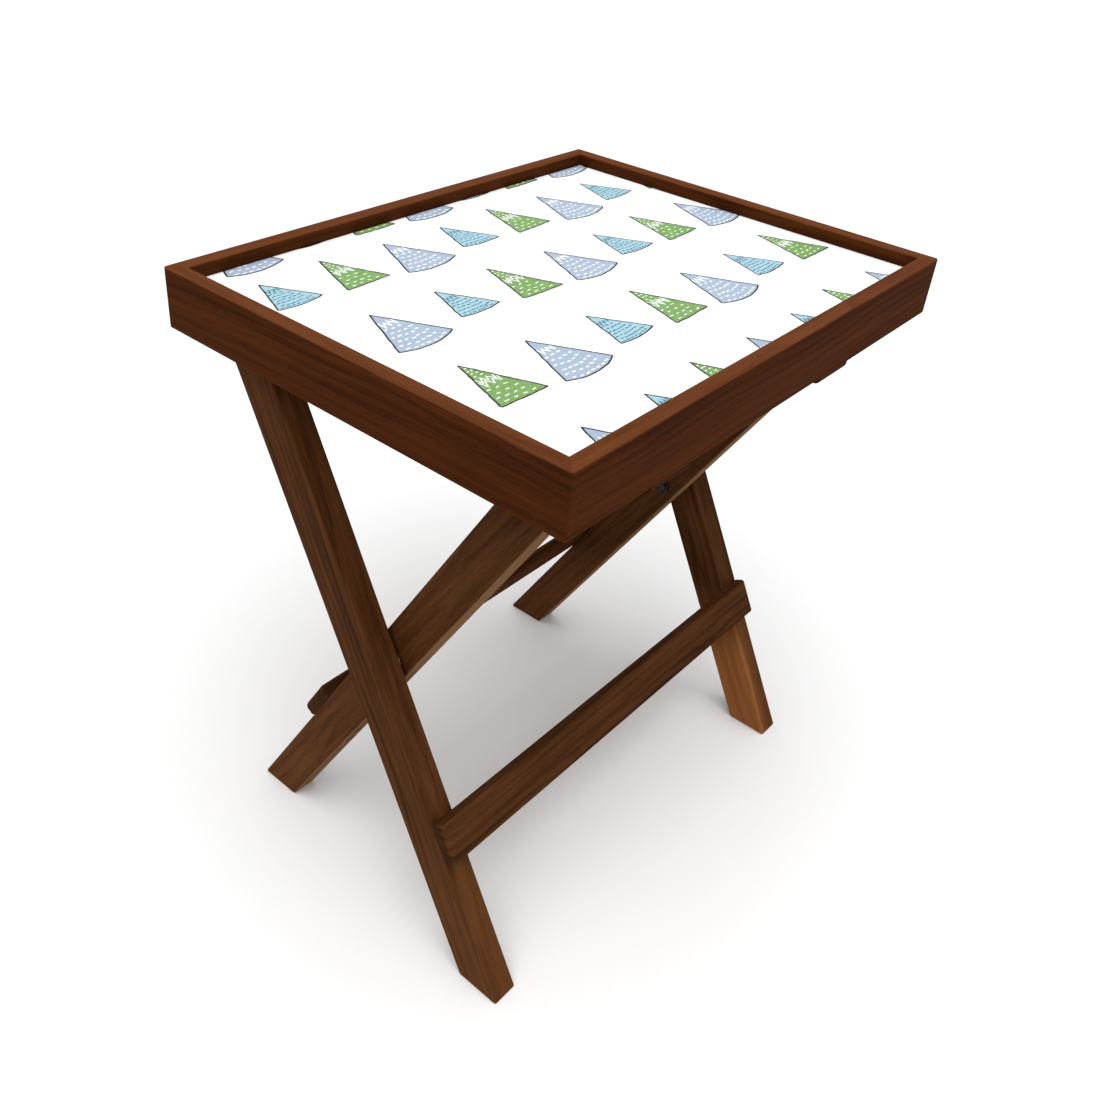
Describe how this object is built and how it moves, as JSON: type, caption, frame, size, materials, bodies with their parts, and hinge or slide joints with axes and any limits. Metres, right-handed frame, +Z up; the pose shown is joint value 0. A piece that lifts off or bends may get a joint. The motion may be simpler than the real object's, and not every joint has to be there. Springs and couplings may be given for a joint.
{
  "type": "folding tray table",
  "caption": "Small wooden folding side table: mitred tray with a printed panel, hinged on crossed leg frames that close like scissors.",
  "frame": {"origin": "on the floor under the middle of the tray", "axes": "+Z up, X along the tray's long side, +Y towards the side where the outer legs are hinged to the tray"},
  "size_m": [0.381, 0.2986, 0.4255],
  "materials": {
    "tray_wood": "walnut stain with a satin lacquer",
    "leg_wood": "walnut stain with a satin lacquer",
    "panel_board": "raw medium-density board",
    "printed_laminate": "satin laminate with a printed pattern",
    "spline_wood": "raw beech",
    "screw_steel": "zinc plated",
    "bolt_steel": "black zinc",
    "insert_brass": "plain",
    "washer_nylon": "natural nylon"
  },
  "bodies": {
    "outer_frame": {"left_outer_leg": "leg_wood", "right_outer_leg": "leg_wood", "front_stretcher": "leg_wood", "front_stretcher_screws": "screw_steel", "pivot_inserts": "insert_brass", "pivot_bolts": "bolt_steel", "pivot_head_washers": "bolt_steel", "pivot_spacers": "washer_nylon"},
    "inner_frame": {"left_inner_leg": "leg_wood", "right_inner_leg": "leg_wood", "back_stretcher": "leg_wood", "back_stretcher_screws": "screw_steel", "top_rail": "leg_wood"},
    "hinge_rail": {"hinge_rail": "leg_wood", "hinge_pins": "bolt_steel", "hinge_washers": "washer_nylon"},
    "tray": {"left_wall": "tray_wood", "right_wall": "tray_wood", "front_wall": "tray_wood", "back_wall": "tray_wood", "tray_panel": "panel_board", "printed_sheet": "printed_laminate", "left_rest_block": "tray_wood", "right_rest_block": "tray_wood", "rest_block_screws": "screw_steel", "corner_splines": "spline_wood"}
  },
  "joints": [
    {"name": "leg_fold", "type": "hinge", "parent": "outer_frame", "child": "inner_frame", "pos_m": [0, -0.0035, 0.20552], "axis": [-1, 0, 0], "range_deg": [0, 51.5]},
    {"name": "tray_ride", "type": "hinge", "parent": "outer_frame", "child": "hinge_rail", "pos_m": [0, 0.0965, 0.396], "axis": [-1, 0, 0], "range_deg": [0, 28.32]},
    {"name": "tray_lift", "type": "hinge", "parent": "hinge_rail", "child": "tray", "pos_m": [0, 0.0965, 0.396], "axis": [-1, 0, 0], "range_deg": [0, 54]}
  ],
  "couplings": [
    {"joint": "tray_ride", "follows": "leg_fold", "ratio": 0.55}
  ]
}
